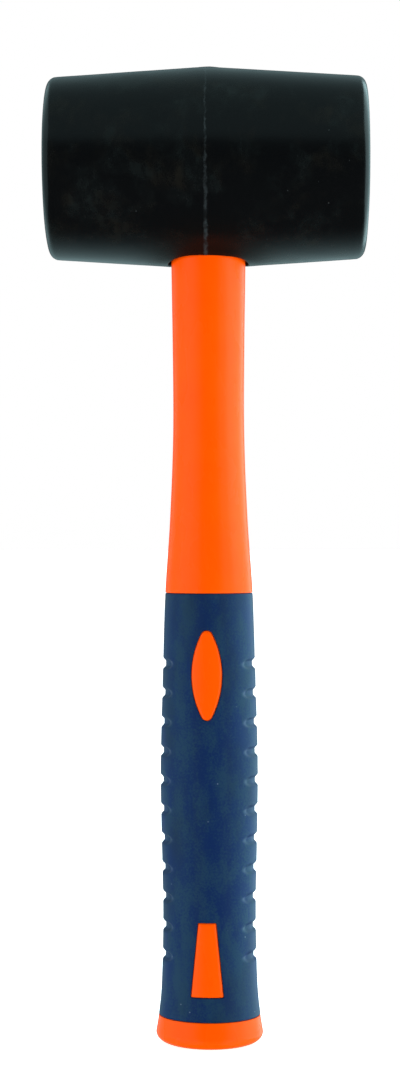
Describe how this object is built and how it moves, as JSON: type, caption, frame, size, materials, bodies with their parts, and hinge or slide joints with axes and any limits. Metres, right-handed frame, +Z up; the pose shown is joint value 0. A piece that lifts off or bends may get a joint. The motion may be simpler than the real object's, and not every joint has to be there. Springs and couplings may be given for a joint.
{
  "type": "rubber mallet",
  "caption": "Mallet with a cylindrical, slightly double-tapered rubber head on a fibreglass-cored plastic handle with a soft overmoulded grip.",
  "frame": {"origin": "middle of the flat face of the handle's butt, on the handle's axis", "axes": "+Z up the handle from the butt to the head; +X along the head's axis to one striking face; +Y across the head"},
  "size_m": [0.1106, 0.0692, 0.3398],
  "materials": {
    "black_rubber": "moulded, satin with a faint dusty bloom",
    "orange_polypropylene": "moulded, satin",
    "pultruded_fibreglass": "sawn end, matt",
    "black_epoxy": "cast, semi-gloss",
    "navy_thermoplastic_rubber": "overmoulded, matt and soft to the touch"
  },
  "bodies": {
    "root": {"head": "black_rubber", "handle_jacket": "orange_polypropylene", "core_rod": "pultruded_fibreglass", "eye_epoxy": "black_epoxy", "grip": "navy_thermoplastic_rubber"}
  },
  "joints": []
}
